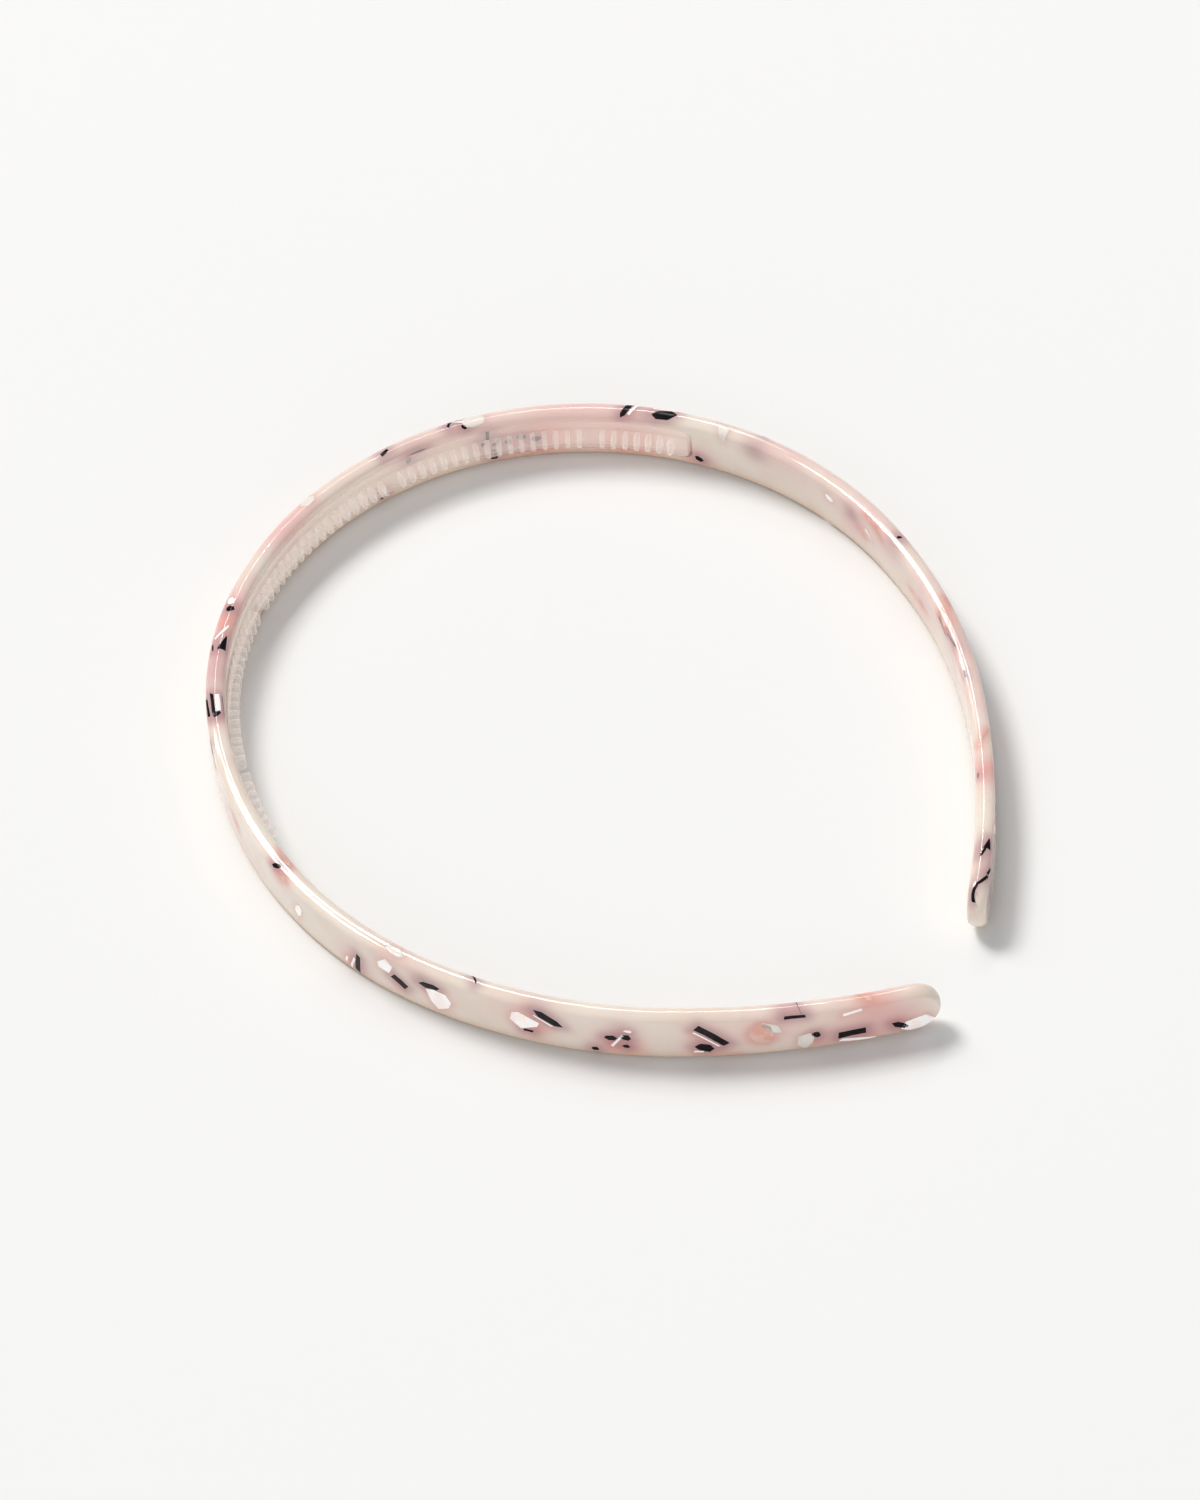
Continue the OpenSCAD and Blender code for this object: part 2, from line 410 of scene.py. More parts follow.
# %% Chips laid one by one
LAID = {
    "black": [
        ("sliver", -77.6, 1.0, 2.0, 0.9, 25),
        ("bar", -96.8, 8.0, 4.6, 1.0, 84),
        ("bar", -105, 6.5, 3.0, 1.5, -32),
        ("sliver", -110.6, 4.2, 4.4, 1.4, 10),
        ("bar", -117.6, -0.7, 2.0, 0.35, -47),
        ("bar", -127, 7.7, 1.7, 0.6, 0),
        ("sliver", -130.2, 3.6, 5.8, 1.7, -35),
        ("flake", -140, 6.3, 2.2, 1.2, 5),
        ("flake", -142.3, 5.9, 1.8, 1.4, -10),
        ("flake", -137.5, 9.4, 1.4, 0.8, 0),
        ("flake", -142.3, 8.1, 1.3, 0.8, 0),
        ("bar", -155.5, 5.1, 7.0, 1.5, -43),
        ("flake", -154.4, 8.0, 3.2, 1.9, -10),
        ("bar", -168.4, 1.6, 3.6, 0.8, 0),
        ("flake", -171.6, 6.6, 1.6, 1.4, -10),
        ("bar", -177.2, 7.4, 4.5, 1.5, 5),
        ("sliver", -184.6, 7.6, 3.2, 1.3, -30),
        ("bar", -43, 1.2, 3.8, 0.55, 5),
        ("bar", -42.6, 0.3, 4.9, 0.55, 3),
        ("sliver", -44.6, -0.2, 1.9, 0.8, -37),
        ("wedge", -29.8, -0.55, 3.2, 1.5, -8),
        ("sliver", -30.8, 1.0, 1.7, 0.35, 12),
        ("flake", -22.6, 0.15, 1.3, 1.3, 20),
        ("bar", 18.4, 0.1, 1.7, 0.6, 18),
        ("bar", 16.4, -9.4, 1.2, 0.7, 0),
        ("bar", 31, 1.2, 2.0, 0.45, 0),
        ("bar", 30.2, 0.6, 1.3, 0.5, 60),
        ("flake", 32.4, -0.6, 1.0, 0.7, -40),
        ("bar", 36.2, -4.9, 2.6, 0.7, 90),
        ("sliver", 36.8, -9.3, 1.6, 1.1, 0),
        ("flake", 35.4, -7.0, 1.0, 1.1, 0),
        ("wedge", 37.6, -7.2, 1.8, 1.2, 60),
        ("flake", 39.6, -7.5, 1.4, 1.4, 30),
        ("sliver", 41.8, -6.9, 1.8, 1.4, -20),
        ("flake", 44.2, -7.7, 2.2, 1.3, 10),
        ("sliver", 59.4, 0.1, 3.6, 1.1, 60),
        ("sliver", 65.8, -0.1, 4.6, 1.7, 6),
        ("flake", 71.9, -8.8, 1.7, 1.2, -20),
        ("flake", 114.2, 0.35, 0.9, 0.6, 60),
        ("wedge", 179.6, 0.7, 2.2, 1.3, 170),
        ("sliver", 181.2, 0.1, 2.4, 0.4, -22),
        ("bar", 184.6, 1.5, 1.8, 0.55, -25),
        ("bar", 188.2, -0.4, 6.4, 0.55, -32),
    ],
    "grey": [
        ("bar", -43, -1.3, 4.4, 0.22, 4),
        ("bar", -169.2, 0.0, 2.9, 0.18, 105),
        ("flake", 22.3, -4.9, 1.5, 1.1, 80),
        ("sliver", 23.8, -2.45, 3.6, 0.3, 0),
        ("bar", 83, 1.4, 1.3, 0.3, 0),
        ("bar", 134, -1.7, 4.4, 0.25, -8),
        ("bar", 137.5, -1.0, 3.4, 0.25, 8),
        ("bar", 145, -0.7, 1.5, 0.35, 0),
        ("flake", 165.8, -1.0, 1.1, 0.4, 0),
    ],
    "white": [
        ("flake", -83.4, 6.5, 3.4, 1.7, 80),
        ("bar", -94.4, 8.7, 1.5, 0.5, 75),
        ("bar", -95.7, 8.6, 3.2, 0.5, 72),
        ("house", -102.6, 4.2, 3.0, 3.5, 0),
        ("shield", -112, 7.0, 4.8, 4.9, 0),
        ("barb", -126.5, 5.5, 4.8, 4.0, 0),
        ("bar", -129.5, 4.4, 3.6, 0.3, -35),
        ("flake", -142.8, 4.3, 1.4, 0.7, 0),
        ("bar", -141, 6.9, 3.8, 0.5, 58),
        ("bar", -154.8, 6.0, 5.4, 0.35, -43),
        ("bar", -153.4, 9.0, 1.6, 0.5, 0),
        ("bar", -178, 9.2, 6.0, 0.7, -8),
        ("bar", -177.4, 2.3, 3.2, 0.7, 15),
        ("flake", -187.6, 8.1, 6.2, 3.4, 5),
        ("bar", -42.4, -0.45, 4.0, 0.8, 3),
        ("bar", -27.6, 0.15, 3.7, 0.4, -27),
        ("flake", -21, 0.4, 1.6, 1.2, 0),
        ("bar", 17.3, -9.3, 0.9, 0.6, 0),
        ("bar", 31.8, 0.6, 2.4, 0.4, -25),
        ("bar", 60.6, 0.3, 2.8, 0.5, 60),
        ("bar", 65.6, 0.95, 3.8, 0.3, 4),
        ("flake", 98, -4.1, 2.0, 1.3, -10),
        ("wedge", 107.8, -5.1, 2.4, 0.6, -38),
    ],
    "coral": [
        ("flake", -77.2, -0.9, 4.0, 1.0, -8),
        ("flake", -80.2, 1.7, 1.7, 1.0, 0),
        ("disc", -163.2, 5.2, 4.2, 5.2, 0),
        ("sliver", -179.6, -0.2, 2.8, 0.9, -40),
        ("wedge", 106, -6.2, 1.8, 0.5, -35),
        ("bar", 108.3, -1.3, 3.4, 0.4, -8),
        ("bar", 110.7, -2.2, 2.6, 0.35, -35),
        ("sliver", 123.5, -6.2, 6.2, 0.9, 3),
        ("sliver", 129.7, 0.9, 2.2, 0.6, 0),
        ("flake", 133, -0.7, 4.2, 1.2, -8),
        ("bar", 158.4, 0.2, 3.6, 0.25, -25),
    ],
    "clear": [
        ("flake", -103.8, 0.2, 3.6, 1.4, 0),
        ("house", -165, 3.9, 4.4, 2.0, -45),
        ("flake", -170, 7.8, 4.0, 2.8, 80),
        ("flake", 2.8, 0.4, 3.2, 1.7, 0),
        ("disc", 34.2, 0.1, 4.4, 2.3, 0),
        ("wedge", 76.4, -1.0, 3.8, 2.8, -80),
        ("flake", 17.0, -8.7, 2.0, 1.2, 0),
    ],
}
print({kind: len(rows) for kind, rows in LAID.items()})

# %% Chips drawn by a seeded hand for the faces behind
HIDDEN_FACES = ((-66, 178, 2.8, 9.6, 30), (-184, -76, -9.6, -2.8, 14), (-186, 186, 11.0, 13.2, 16))
HIDDEN_KINDS = ("black", "black", "white", "white", "coral", "clear")
DARK_DRAWN = (("sliver", "bar", "wedge"), (2, 5), (0.4, 0.9))
PALE_DRAWN = (("flake", "house"), (1.6, 4.2), (1, 2.2))
MOST_TURN = 60
draw = random.Random(5)
for s_from, s_to, p_from, p_to, count in HIDDEN_FACES:
    for k in range(count):
        kind = draw.choice(HIDDEN_KINDS)
        s = s_from + (s_to - s_from) * (k + draw.uniform(0.1, 0.9)) / count
        p = draw.uniform(p_from, p_to)
        cuts, longs, wides = DARK_DRAWN if kind == "black" else PALE_DRAWN
        cut = draw.choice(cuts)
        long, wide = draw.uniform(*longs), draw.uniform(*wides)
        LAID[kind].append((cut, s, p, long, wide, draw.uniform(-MOST_TURN, MOST_TURN)))
print("chips in all:", sum(len(rows) for rows in LAID.values()))

# %% Chip pieces, one for each kind
chip_outlines = {}
chip_pieces = {}
for kind, rows in LAID.items():
    outlines = [chip_outline(*row) for row in rows]
    chip_outlines[kind] = outlines
    bm = bmesh.new()
    for points in outlines:
        add_chip(bm, points)
    bmesh.ops.recalc_face_normals(bm, faces=bm.faces)
    piece = new_piece(kind + "_chips", bm, sharp=50)
    chip_pieces[kind] = piece
    print(piece.name, len(rows), "chips,", len(piece.data.polygons), "faces")

# %% [markdown]
# ## Colour that follows the chips
# In the press each chip stains the paste round it: black ones leave a lilac haze, clear and white
# ones a coral fringe, and some of the coral ground so fine that it hangs in the paste as rose
# clouds. Noise alone would put these stains in the wrong places, so three masks are painted on the
# points of the band, from a short list of clouds and from the outlines of the chips themselves.

# %% Clouds, as s, p, reach and strength
ROSE = [
    (-3, 1.0, 6, 0.8), (-22, 0.3, 5, 0.7), (-34, 0.2, 6, 0.8), (-47, 0.0, 2, 0.5), (-78, 1.4, 3, 0.75),
    (-96, 7.6, 4, 0.5), (-104, 1.6, 4, 0.4), (-112, 6, 4, 0.3), (-127, 5, 4.5, 0.6), (-141, 7, 4.5, 0.7),
    (-155, 7, 5, 0.65), (-163, 5, 4, 0.5), (-168, 0.5, 3.5, 0.7), (-174, 7, 4.5, 0.6), (-180, 5, 4.5, 0.7),
    (-184, 5, 4, 0.8), (-186, 9, 3.5, 0.6), (22, -2, 5, 0.5), (33, 0.5, 7, 0.5), (44, -8.6, 8, 0.8),
    (56, -0.5, 8, 0.5), (60, -9.6, 7, 0.7), (72, -9, 3, 0.8), (88, 1.2, 7, 0.6), (104, -5, 4, 0.6),
    (106, 1.0, 7, 0.3), (112, -2.4, 4, 0.6), (125, -5.5, 5, 0.5), (131, 0.2, 6, 0.4), (141, -1.5, 6, 0.4),
    (165, 0.3, 3.2, 0.9), (184, 5, 4, 0.5), (10, 6, 7, 0.6), (52, 5, 8, 0.6), (98, 6, 7, 0.3),
    (150, 6, 8, 0.6),
]
LILAC = [
    (-36, -0.2, 4, 0.4), (-109.5, 3.6, 2, 0.7), (-129, 2.4, 2.4, 0.6), (-142, 4, 2, 0.5), (-167, 0, 2, 0.5),
    (23, -3.6, 3, 0.7), (36, -6, 4, 0.5), (62, 0, 3, 0.4), (82.5, -2.4, 2.4, 0.8), (103.5, -3.8, 2, 0.9),
    (115, -1.5, 3, 0.5), (138, -1.5, 4, 0.4), (185.5, 6, 2.6, 0.8), (181, 1, 2, 0.5), (-60, 5, 3, 0.3),
]
CORAL = [
    (-25.5, 0.2, 2.6, 0.9), (-78.5, 2.6, 1.8, 0.7), (134, -0.8, 2.4, 0.4), (-128, 6.6, 2.4, 0.8),
    (-127, 3, 1.6, 0.5), (-105, 7.4, 1.6, 0.6), (-96, 8.4, 2, 0.5), (-140.5, 7.6, 2.2, 0.8),
    (-143.5, 8.8, 2, 0.6), (-155.2, 7.4, 2.4, 0.8), (-171, 8.4, 2.2, 0.6), (-178, 8.8, 3, 0.7),
    (-184, 6.8, 2, 0.5), (-181, 1.0, 3, 0.6), (44, -8.6, 5, 0.6), (60, -9.8, 5, 0.6),
    (-45, 0.5, 1.6, 0.3), (165, 0.6, 2.4, 0.5),
]
CLOUDS = {"rose": ROSE, "lilac": LILAC, "coral": CORAL}
print({name: len(rows) for name, rows in CLOUDS.items()})

# %% Masks on the points of the band
STAINS = {
    "black": ("lilac", 1.3, 0.75),
    "grey": ("lilac", 0.9, 0.45),
    "coral": ("coral", 0.9, 0.7),
    "white": ("coral", 0.75, 0.35),
    "clear": ("coral", 0.8, 0.3),
}
STAIN_WINDOW = 8.0

point_count = len(band_mesh.vertices)
spot = np.zeros(point_count * 3, np.float32)
band_mesh.attributes["spot"].data.foreach_get("vector", spot)
spot = spot.reshape(-1, 3)[:, :2]
band_mesh.attributes.remove(band_mesh.attributes["spot"])


def clouds(rows):
    """Soft round clouds on the points of the band, added up to at most one."""
    clear = np.ones(point_count)
    for s, p, reach, strength in rows:
        gap = ((spot[:, 0] - s) ** 2 + (spot[:, 1] - p) ** 2) / reach**2
        clear *= 1 - strength * np.exp(-gap)
    return 1 - clear


def stains(kind, reach, strength):
    """A soft fringe round each chip of one kind."""
    clear = np.ones(point_count)
    for outline in chip_outlines[kind]:
        line = np.array(outline)
        near = np.where(np.abs(spot[:, 0] - line[:, 0].mean()) < STAIN_WINDOW)[0]
        gaps = np.full(len(near), np.inf)
        for s, p in line:
            gaps = np.minimum(gaps, np.hypot(spot[near, 0] - s, spot[near, 1] - p))
        clear[near] *= 1 - strength * np.exp(-((gaps / reach) ** 2))
    return 1 - clear


masks = {name: clouds(rows) for name, rows in CLOUDS.items()}
for kind, (name, reach, strength) in STAINS.items():
    masks[name] = 1 - (1 - masks[name]) * (1 - stains(kind, reach, strength))
for name, values in masks.items():
    layer = band_mesh.attributes.new(name, "FLOAT", "POINT")
    layer.data.foreach_set("value", values.astype(np.float32))
    print(name, "covers", round(float((values > 0.3).mean()) * 100), "percent of the band")

# %% [markdown]
# ## Two effects that every finish shares
# Polished acetate is never one even colour or one even gloss. A soft cloud varies the colour, and
# a tumbled skin varies the roughness and gives a very low relief. Each is a node group, built once
# and placed in every material with its own values.

# %% Node groups
def new_group(name, inputs, outputs):
    """An empty shader group with named sockets; returns it with its input and output nodes."""
    group = bpy.data.node_groups.new(name, "ShaderNodeTree")
    for label, kind, value in inputs:
        socket = group.interface.new_socket(name=label, in_out="INPUT", socket_type=kind)
        socket.default_value = value
    for label, kind in outputs:
        group.interface.new_socket(name=label, in_out="OUTPUT", socket_type=kind)
    return group, group.nodes.new("NodeGroupInput"), group.nodes.new("NodeGroupOutput")


def add_noise(group, scale_from, detail):
    """A noise texture in the object's own space, so it stays put in every view."""
    where = group.nodes.new("ShaderNodeTexCoord")
    noise = group.nodes.new("ShaderNodeTexNoise")
    noise.inputs["Detail"].default_value = detail
    group.links.new(where.outputs["Object"], noise.inputs["Vector"])
    group.links.new(scale_from, noise.inputs["Scale"])
    return noise


FLOAT = "NodeSocketFloat"
cloud_group, cloud_in, cloud_out = new_group(
    "soft_cloud",
    [("Scale", FLOAT, 120.0), ("Low", FLOAT, 0.4), ("High", FLOAT, 0.65)],
    [("Mask", FLOAT)],
)
cloud_noise = add_noise(cloud_group, cloud_in.outputs["Scale"], detail=3.0)
cloud_range = cloud_group.nodes.new("ShaderNodeMapRange")
cloud_range.interpolation_type = "SMOOTHSTEP"
cloud_group.links.new(cloud_noise.outputs["Fac"], cloud_range.inputs["Value"])
cloud_group.links.new(cloud_in.outputs["Low"], cloud_range.inputs["From Min"])
cloud_group.links.new(cloud_in.outputs["High"], cloud_range.inputs["From Max"])
cloud_group.links.new(cloud_range.outputs["Result"], cloud_out.inputs["Mask"])

skin_group, skin_in, skin_out = new_group(
    "tumbled_skin",
    [("Scale", FLOAT, 900.0), ("Polished", FLOAT, 0.08), ("Dull", FLOAT, 0.2)],
    [("Roughness", FLOAT), ("Height", FLOAT)],
)
skin_noise = add_noise(skin_group, skin_in.outputs["Scale"], detail=4.0)
skin_range = skin_group.nodes.new("ShaderNodeMapRange")
skin_group.links.new(skin_noise.outputs["Fac"], skin_range.inputs["Value"])
skin_group.links.new(skin_in.outputs["Polished"], skin_range.inputs["To Min"])
skin_group.links.new(skin_in.outputs["Dull"], skin_range.inputs["To Max"])
skin_group.links.new(skin_range.outputs["Result"], skin_out.inputs["Roughness"])
skin_group.links.new(skin_noise.outputs["Fac"], skin_out.inputs["Height"])
print("node groups:", cloud_group.name, "and", skin_group.name)

# %% [markdown]
# ## The finishes
# All of them are one glossy plastic with different fillings. The ivory paste is milky, so light
# goes a millimetre or so into it; subsurface scattering does that better than a flat colour. The
# low edge that the hoop lies on is tinted browner as painted shade, where little light reaches it.
# The comb is clear plastic. True refraction through so many small teeth comes out dark and grainy,
# so its body is mostly see-through instead, gets denser where it is seen edge-on, and carries a faint
# painted glow that keeps it as bright as the band behind it.

# %% A material with the shared effects
RELIEF = 0.004
RELIEF_STRENGTH = 0.05
PLASTIC_IOR = 1.49


def new_finish(name, polished, dull, skin_scale=900.0):
    """A Principled material whose gloss and relief come from the tumbled skin group."""
    finish = bpy.data.materials.new(name)
    finish.use_nodes = True
    tree = finish.node_tree
    shader = tree.nodes["Principled BSDF"]
    skin = tree.nodes.new("ShaderNodeGroup")
    skin.node_tree = skin_group
    skin.inputs["Scale"].default_value = skin_scale
    skin.inputs["Polished"].default_value = polished
    skin.inputs["Dull"].default_value = dull
    bump = tree.nodes.new("ShaderNodeBump")
    bump.inputs["Strength"].default_value = RELIEF_STRENGTH
    bump.inputs["Distance"].default_value = RELIEF * MM
    tree.links.new(skin.outputs["Roughness"], shader.inputs["Roughness"])
    tree.links.new(skin.outputs["Height"], bump.inputs["Height"])
    tree.links.new(bump.outputs["Normal"], shader.inputs["Normal"])
    shader.inputs["IOR"].default_value = PLASTIC_IOR
    return finish, tree, shader


def make_milky(shader, weight, radius, depth):
    """Lets light scatter inside a finish, to a depth in millimetres."""
    shader.inputs["Subsurface Weight"].default_value = weight
    shader.inputs["Subsurface Radius"].default_value = radius
    shader.inputs["Subsurface Scale"].default_value = depth * MM


def cloud(tree, scale, low, high):
    """The soft cloud group, placed in a material."""
    node = tree.nodes.new("ShaderNodeGroup")
    node.node_tree = cloud_group
    for label, value in (("Scale", scale), ("Low", low), ("High", high)):
        node.inputs[label].default_value = value
    return node.outputs["Mask"]


def blend_colour(tree, share, under, over):
    """Mixes a colour over another by a mask; a colour is a socket or three numbers."""
    mix = tree.nodes.new("ShaderNodeMix")
    mix.data_type = "RGBA"
    tree.links.new(share, mix.inputs["Factor"])
    for socket, value in ((mix.inputs[6], under), (mix.inputs[7], over)):
        if isinstance(value, bpy.types.NodeSocket):
            tree.links.new(value, socket)
        else:
            socket.default_value = (*value, 1.0)
    return mix.outputs[2]


def scaled(tree, value, factor):
    """A mask times a number or another mask."""
    node = tree.nodes.new("ShaderNodeMath")
    node.operation = "MULTIPLY"
    node.use_clamp = True
    tree.links.new(value, node.inputs[0])
    if isinstance(factor, bpy.types.NodeSocket):
        tree.links.new(factor, node.inputs[1])
    else:
        node.inputs[1].default_value = factor
    return node.outputs["Value"]


def painted(tree, name):
    """A mask painted on the points of the band."""
    node = tree.nodes.new("ShaderNodeAttribute")
    node.attribute_name = name
    return node.outputs["Fac"]


def ranged(tree, value, low, high):
    """A mask moved from 0..1 to low..high."""
    node = tree.nodes.new("ShaderNodeMapRange")
    node.inputs["To Min"].default_value = low
    node.inputs["To Max"].default_value = high
    tree.links.new(value, node.inputs["Value"])
    return node.outputs["Result"]


print("every plastic here has an index of", PLASTIC_IOR)

# %% Ivory paste
IVORY = (0.84, 0.755, 0.665)
WARM_IVORY = (0.82, 0.70, 0.61)
ROSE_TINT = (0.80, 0.48, 0.47)
LILAC_TINT = (0.42, 0.20, 0.23)
CORAL_TINT = (0.78, 0.34, 0.28)
LOW_EDGE_SHADE_TINT = (0.72, 0.46, 0.27)
LOW_EDGE_SHADE_HEIGHT, LOW_EDGE_SHADE_SHARE = 2.6, 0.6
FINE_ROSE_SHARE = 0.2
PASTE_CLOUD, FINE_CLOUD = (90, 0.42, 0.66), (160, 0.5, 0.75)

paste, tree, shader = new_finish("ivory_acetate", polished=0.05, dull=0.1)
colour = blend_colour(tree, cloud(tree, *PASTE_CLOUD), IVORY, WARM_IVORY)
colour = blend_colour(tree, scaled(tree, cloud(tree, *FINE_CLOUD), FINE_ROSE_SHARE), colour, ROSE_TINT)
for name, share, tint in (("rose", 0.9, ROSE_TINT), ("coral", 0.85, CORAL_TINT), ("lilac", 0.7, LILAC_TINT)):
    colour = blend_colour(tree, scaled(tree, painted(tree, name), share), colour, tint)
# Painted shade: the paste is tinted browner towards the low edge that lies on the floor.
where = tree.nodes.new("ShaderNodeTexCoord")
height = tree.nodes.new("ShaderNodeSeparateXYZ")
low_edge_shade = tree.nodes.new("ShaderNodeMapRange")
low_edge_shade.interpolation_type = "SMOOTHSTEP"
low_edge_shade.inputs["From Min"].default_value = LOW_EDGE_SHADE_HEIGHT * MM
low_edge_shade.inputs["From Max"].default_value = 0.0
tree.links.new(where.outputs["Object"], height.inputs["Vector"])
tree.links.new(height.outputs["Z"], low_edge_shade.inputs["Value"])
colour = blend_colour(tree, scaled(tree, low_edge_shade.outputs["Result"], LOW_EDGE_SHADE_SHARE), colour, LOW_EDGE_SHADE_TINT)
tree.links.new(colour, shader.inputs["Base Color"])
make_milky(shader, weight=0.5, radius=(1.0, 0.75, 0.6), depth=1.2)
band_mesh.materials.append(paste)
print("paste nodes:", len(tree.nodes))

# %% Chip finishes, as base, tint of the clouds, share of the clouds and how milky it is
CHIP_CLOUD = (420, 0.45, 0.62)
BLACK_GLOSS = 0.12
WHITE_PAINTED_LIGHT = (1.0, 0.95, 0.93, 1.0)
WHITE_PAINTED_LIGHT_STRENGTH = 0.18
CHIP_FINISH = {
    "black": ((0.006, 0.005, 0.006), (0.03, 0.018, 0.024), 0.4, 0.0),
    "grey": ((0.20, 0.16, 0.18), (0.36, 0.28, 0.30), 0.8, 0.2),
    "white": ((0.94, 0.91, 0.89), (0.93, 0.76, 0.72), 0.8, 0.3),
    "coral": ((0.82, 0.42, 0.34), (0.88, 0.62, 0.54), 0.7, 0.5),
    "clear": ((0.88, 0.77, 0.69), (0.92, 0.85, 0.80), 0.8, 0.5),
}
for kind, (base, tint, share, milky) in CHIP_FINISH.items():
    finish, tree, shader = new_finish(kind + "_acetate", polished=0.08, dull=0.16)
    mask = scaled(tree, cloud(tree, *CHIP_CLOUD), share)
    tree.links.new(blend_colour(tree, mask, base, tint), shader.inputs["Base Color"])
    make_milky(shader, weight=milky, radius=(1.0, 0.7, 0.6), depth=0.8)
    if kind == "black":
        shader.inputs["Specular IOR Level"].default_value = BLACK_GLOSS
    # Painted light: the white chips glow faintly, standing in for light that comes through them.
    if kind == "white":
        shader.inputs["Emission Color"].default_value = WHITE_PAINTED_LIGHT
        shader.inputs["Emission Strength"].default_value = WHITE_PAINTED_LIGHT_STRENGTH
    chip_pieces[kind].data.materials.append(finish)
    print(finish.name, "on", len(LAID[kind]), "chips")

# %% Clear comb finish
CLEAR_TINT, MIST_TINT = (1.0, 0.94, 0.90), (0.97, 0.87, 0.81)
MIST_CLOUD, MIST_SHARE = (200, 0.4, 0.7), 0.6
COMB_PAINTED_LIGHT = (1.0, 0.87, 0.78, 1.0)
COMB_PAINTED_LIGHT_STRENGTH = 0.16
EDGE_BLEND = 0.35
FACE_ON, EDGE_ON = 0.08, 0.6
SHADOW_SHARE = 0.1

clear, tree, shader = new_finish("clear_moulding", polished=0.06, dull=0.14, skin_scale=500.0)
mist = scaled(tree, cloud(tree, *MIST_CLOUD), MIST_SHARE)
tree.links.new(blend_colour(tree, mist, CLEAR_TINT, MIST_TINT), shader.inputs["Base Color"])
# Painted light: a faint glow keeps the see-through comb as bright as the band that shows through it.
shader.inputs["Emission Color"].default_value = COMB_PAINTED_LIGHT
shader.inputs["Emission Strength"].default_value = COMB_PAINTED_LIGHT_STRENGTH
edge_on = tree.nodes.new("ShaderNodeLayerWeight")
edge_on.inputs["Blend"].default_value = EDGE_BLEND
body = ranged(tree, edge_on.outputs["Facing"], FACE_ON, EDGE_ON)
light_path = tree.nodes.new("ShaderNodeLightPath")
lets_light = ranged(tree, light_path.outputs["Is Shadow Ray"], 1.0, SHADOW_SHARE)
tree.links.new(scaled(tree, body, lets_light), shader.inputs["Alpha"])
print("comb finish is", clear.name)

# %% [markdown]
# ## The comb strip
# The comb is one clear moulding: a thin base that fills the channel, a raised rib, and teeth in
# groups along it. The CAD solid has the right sizes but sharp tooth edges, and it is the rounded
# edges that catch the light, so the strip is swept again with moulded rounds and every tooth is a
# small plate built from layers that draw in at both sides.

# %% Comb strip sizes and section
STRIP_HALF = 70.12
BASE_H, BASE_T = 6.2, 1.0
RIB_H, RIB_T = 3.6, 0.4
MOULDED_R = 0.15
STRIP_CORNER = 1.2
TOOTH_PITCH, TOOTH_T, TOOTH_H, TOOTH_REACH = 1.98, 0.8, 3.0, 1.6
TOOTH_CORNER, TOOTH_ROUND = 0.6, 0.22
TOOTH_ROOT = 0.25
LEAST_CORNER = 0.1
CORNER_POINTS = 7
TOOTH_GROUPS = (7, 17, 17, 17, 7)


def off_inner_face(s, stand, z):
    """A point that stands off the inner face of the bar towards the head."""
    x, y, heading = along(s)
    out = -(BAND_T / 2 + stand)
    side = 1 if s >= 0 else -1
    return place((side * (x + math.sin(heading) * out), y + math.cos(heading) * out, z))


def strip_ring(s):
    """Section of the strip at s, as (stand, z) pairs; its ends are rounded across."""
    past = max(abs(s) - (STRIP_HALF - STRIP_CORNER), 0.0)
    half = BASE_H / 2 - STRIP_CORNER + math.sqrt(max(STRIP_CORNER**2 - past**2, 0.0))
    rib, r = RIB_H / 2, MOULDED_R
    cut = r * (1 - math.sqrt(0.5))
    upper = [(-BASE_T, 0.0), (-BASE_T, half - r), (-BASE_T + cut, half - cut), (-BASE_T + r, half)]
    upper += [(-r, half), (-cut, half - cut), (0.0, half - r), (0.0, rib + r / 3), (r / 3, rib)]
    upper += [(RIB_T - r, rib), (RIB_T - cut, rib - cut), (RIB_T, rib - r), (RIB_T, 0.0)]
    return upper + [(stand, -z) for stand, z in reversed(upper[1:-1])]


def rounded_plate(inset):
    """Outline of a tooth as (stand, z) pairs, drawn in by an inset."""
    near, far = RIB_T - TOOTH_ROOT, RIB_T + TOOTH_REACH - inset
    half = TOOTH_H / 2 - inset
    r = max(TOOTH_CORNER - inset, LEAST_CORNER)
    corner = [(math.sin(a), math.cos(a)) for a in np.linspace(0, math.pi / 2, CORNER_POINTS)]
    upper = [(near, half)] + [(far - r + r * a, half - r + r * b) for a, b in corner]
    return upper + [(stand, -z) for stand, z in reversed(upper)]


def bridge(bm, rings):
    """Joins closed rings with quads and closes both ends with a face."""
    made = [[bm.verts.new(point) for point in ring] for ring in rings]
    n = len(made[0])
    for a, b in zip(made, made[1:]):
        for k in range(n):
            bm.faces.new((a[k], a[(k + 1) % n], b[(k + 1) % n], b[k]))
    bm.faces.new(made[0])
    bm.faces.new(list(reversed(made[-1])))


print("a tooth has", len(rounded_plate(0.0)), "points round it, the strip", len(strip_ring(0.0)))

# %% Comb strip mesh
STRIP_RINGS = 281
TOOTH_LAYERS = 9

comb_bm = bmesh.new()
strip_spots = list(np.linspace(-STRIP_HALF, STRIP_HALF, STRIP_RINGS))
end_turns = [math.pi / 2 * k / CORNER_POINTS for k in range(1, CORNER_POINTS)]
end_spots = [STRIP_HALF - STRIP_CORNER * (1 - math.sin(turn)) for turn in end_turns]
strip_spots = sorted(strip_spots + end_spots + [-s for s in end_spots])
bridge(comb_bm, [[off_inner_face(s, stand, z) for stand, z in strip_ring(s)] for s in strip_spots])

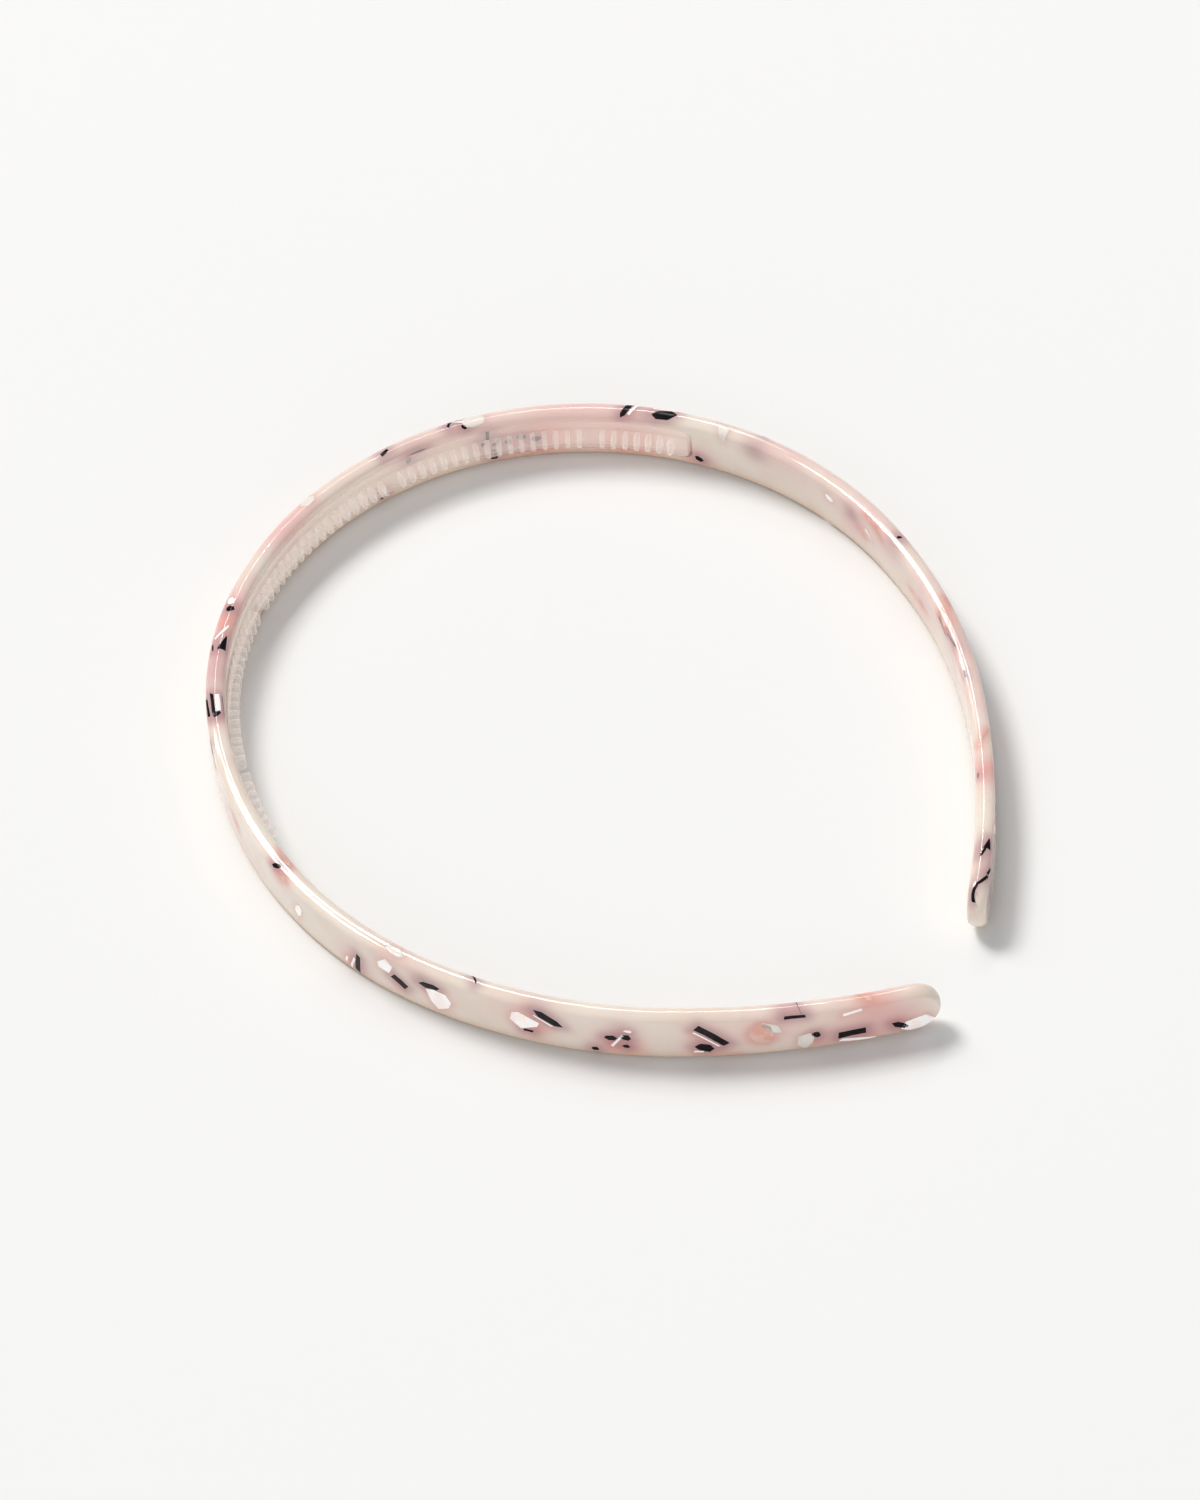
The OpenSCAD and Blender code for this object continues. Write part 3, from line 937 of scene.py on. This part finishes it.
tooth_places = []
for count in TOOTH_GROUPS:
    start = tooth_places[-1] + 2 if tooth_places else 0
    tooth_places += range(start, start + count)
tooth_spots = [(number - tooth_places[-1] / 2) * TOOTH_PITCH for number in tooth_places]
for s in tooth_spots:
    layers = []
    for a in np.linspace(-math.pi / 2, math.pi / 2, TOOTH_LAYERS):
        flank = math.copysign(TOOTH_T / 2 - TOOTH_ROUND, a) if a else 0.0
        across = flank + TOOTH_ROUND * math.sin(a)
        inset = TOOTH_ROUND * (1 - math.cos(a))
        layers.append([off_inner_face(s + across, stand, z) for stand, z in rounded_plate(inset)])
    bridge(comb_bm, layers)
bmesh.ops.recalc_face_normals(comb_bm, faces=comb_bm.faces)
clear_comb = new_piece("clear_comb", comb_bm, sharp=50)
clear_comb.data.materials.append(clear)
print("comb:", len(tooth_spots), "teeth,", len(clear_comb.data.polygons), "faces")

# %% [markdown]
# ## Studio
# A plain pale floor, an even white sky, a soft key light from behind that gives the short shadows,
# and a faint fill from the front. One lamp can't draw the thin bright line that runs all along the
# polished rims, because the rims turn with the hoop. So an arc of four narrow strips follows the
# turn behind it. The two broad lights are left out of the gloss, so they can't blur that line.

# %% Floor
FLOOR_SIZE = 6.0
PAPER = (0.87, 0.865, 0.855, 1.0)
floor_bm = bmesh.new()
bmesh.ops.create_grid(floor_bm, x_segments=2, y_segments=2, size=FLOOR_SIZE)
studio_floor = new_piece("studio_floor", floor_bm)
paper = bpy.data.materials.new("pale_paper")
paper.use_nodes = True
paper_shader = paper.node_tree.nodes["Principled BSDF"]
paper_shader.inputs["Base Color"].default_value = PAPER
paper_shader.inputs["Roughness"].default_value = 0.9
paper_shader.inputs["Specular IOR Level"].default_value = 0.1
studio_floor.data.materials.append(paper)
print("floor", FLOOR_SIZE * 2, "m across")

# %% Sky and broad lights
SKY, SKY_STRENGTH = (0.95, 0.975, 1.0, 1.0), 0.38
SUN_DISTANCE = 2.0
KEY_COLOUR = (1.0, 0.985, 0.965)

world = bpy.data.worlds.new("even_sky")
bpy.context.scene.world = world
world.use_nodes = True
world.node_tree.nodes["Background"].inputs["Color"].default_value = SKY
world.node_tree.nodes["Background"].inputs["Strength"].default_value = SKY_STRENGTH


def direction(azimuth, elevation):
    """Unit vector towards an azimuth and elevation in degrees."""
    a, e = math.radians(azimuth), math.radians(elevation)
    return Vector((math.cos(a) * math.cos(e), math.sin(a) * math.cos(e), math.sin(e)))


def add_sun(name, azimuth, elevation, strength, spread):
    """A sun that shines on the hoop from a direction, soft over a spread in degrees."""
    data = bpy.data.lights.new(name, "SUN")
    data.energy = strength
    data.angle = math.radians(spread)
    data.specular_factor = 0.0
    light = bpy.data.objects.new(name, data)
    towards = direction(azimuth, elevation)
    light.location = towards * SUN_DISTANCE
    light.rotation_euler = towards.to_track_quat("Z", "Y").to_euler()
    bpy.context.scene.collection.objects.link(light)
    return data


key = add_sun("soft_key", azimuth=88, elevation=55, strength=1.85, spread=20)
key.color = KEY_COLOUR
fill = add_sun("front_fill", azimuth=223, elevation=12, strength=1.0, spread=80)
print("broad lights:", key.name, "and", fill.name)

# %% Arc of strips, from azimuth and elevation to the next
ARC = ((94, 32), (76, 46), (60, 55), (46, 50), (36, 37))
ARC_DISTANCE, ARC_WIDTH, ARC_POWER = 2.5, 0.08, 3.0

for k, ends in enumerate(zip(ARC, ARC[1:])):
    start, end = (direction(*corner) * ARC_DISTANCE for corner in ends)
    data = bpy.data.lights.new(f"rim_arc_{k}", "AREA")
    data.energy = ARC_POWER
    data.shape = "RECTANGLE"
    data.size, data.size_y = (end - start).length, ARC_WIDTH
    strip = bpy.data.objects.new(data.name, data)
    length_axis = (end - start).normalized()
    towards = (start + end).normalized()
    width_axis = towards.cross(length_axis)
    turned = Matrix((length_axis, width_axis, towards)).transposed().to_4x4()
    strip.matrix_world = Matrix.Translation((start + end) / 2) @ turned
    bpy.context.scene.collection.objects.link(strip)
print("rim arc of", len(ARC) - 1, "strips")

# %% Camera
VIEW_DISTANCE = 1.4185
VIEW_ELEVATION = 50.65
VIEW_ROLL = 5.6
LENS = 266.45
SENSOR = 36.0
CLIP_END = 20.0

target = Vector((-2.15, 5.5, 0.0)) * MM
away = Vector((0.7211, 0.6928, 0.0)).normalized()
level = Vector((away.y, -away.x, 0.0))
tilt, roll = math.radians(VIEW_ELEVATION), math.radians(VIEW_ROLL)
over = away * math.sin(tilt) + Vector((0, 0, math.cos(tilt)))
view = away * math.cos(tilt) - Vector((0, 0, math.sin(tilt)))
camera_x = level * math.cos(roll) - over * math.sin(roll)
camera_y = level * math.sin(roll) + over * math.cos(roll)
camera_data = bpy.data.cameras.new("camera")
camera_data.sensor_fit = "HORIZONTAL"
camera_data.sensor_width = SENSOR
camera_data.lens = LENS
camera_data.clip_end = CLIP_END
camera = bpy.data.objects.new("camera", camera_data)
camera.matrix_world = Matrix.Translation(target - view * VIEW_DISTANCE) @ (
    Matrix((camera_x, camera_y, -view)).transposed().to_4x4()
)
bpy.context.scene.collection.objects.link(camera)
bpy.context.scene.camera = camera
bpy.context.scene.view_settings.view_transform = "Standard"
print("camera at", [round(v, 3) for v in camera.location])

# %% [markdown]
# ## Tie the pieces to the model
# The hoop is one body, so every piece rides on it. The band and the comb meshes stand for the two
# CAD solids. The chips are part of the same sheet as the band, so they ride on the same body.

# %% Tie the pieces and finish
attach(mosaic_band, "root")
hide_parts("band")
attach(clear_comb, "root")
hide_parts("comb_strip")
for piece in chip_pieces.values():
    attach(piece, "root")
studio_floor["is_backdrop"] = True

low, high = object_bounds()
for name, size in (("CAD", cad_high - cad_low), ("visual", high - low)):
    print(name, "box", [round(v / MM, 2) for v in size], "mm")
